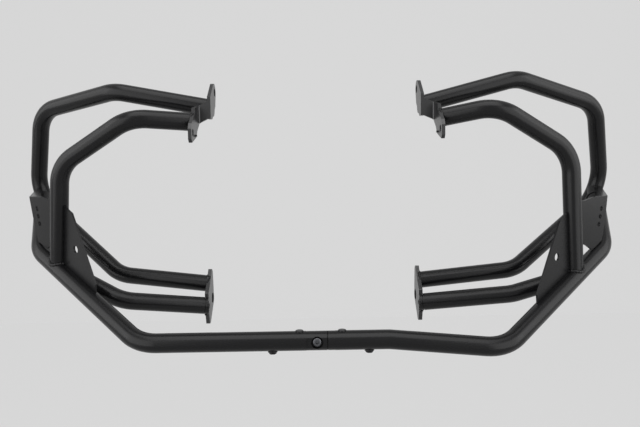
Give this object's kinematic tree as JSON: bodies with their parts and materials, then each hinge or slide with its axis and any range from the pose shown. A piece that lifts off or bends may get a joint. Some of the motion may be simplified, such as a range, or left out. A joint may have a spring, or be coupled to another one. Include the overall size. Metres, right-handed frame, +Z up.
{
  "type": "motorcycle crash bars",
  "caption": "Pair of bent-tube crash bars joined under the engine by a bolted half-lap joint, with welded gussets and mount lugs, to guard a motorcycle's sides.",
  "frame": {"origin": "middle of the bolted joint under the engine, on the axis of the bottom tube", "axes": "+X across the machine, +Y to the rear, +Z up"},
  "size_m": [1.0262, 0.3023, 0.4072],
  "materials": {
    "powder_coat": "satin black powder coat",
    "screw": "dark zinc plate"
  },
  "bodies": {
    "root": {"joint_nut": "screw", "joint_screw": "screw", "left_brace_plug": "powder_coat", "left_front_brace": "powder_coat", "left_front_gusset": "powder_coat", "left_front_hoop": "powder_coat", "left_joint_insert": "powder_coat", "left_low_lock_screw": "powder_coat", "left_lower_bar": "powder_coat", "left_lower_plate": "powder_coat", "left_outer_plate": "powder_coat", "left_rear_hoop": "powder_coat", "left_top_lock_screw": "powder_coat", "left_upper_bracket": "powder_coat", "right_brace_plug": "powder_coat", "right_front_brace": "powder_coat", "right_front_gusset": "powder_coat", "right_front_hoop": "powder_coat", "right_joint_insert": "powder_coat", "right_low_lock_screw": "powder_coat", "right_lower_bar": "powder_coat", "right_lower_plate": "powder_coat", "right_outer_plate": "powder_coat", "right_rear_hoop": "powder_coat", "right_top_lock_screw": "powder_coat", "right_upper_bracket": "powder_coat"}
  },
  "joints": []
}
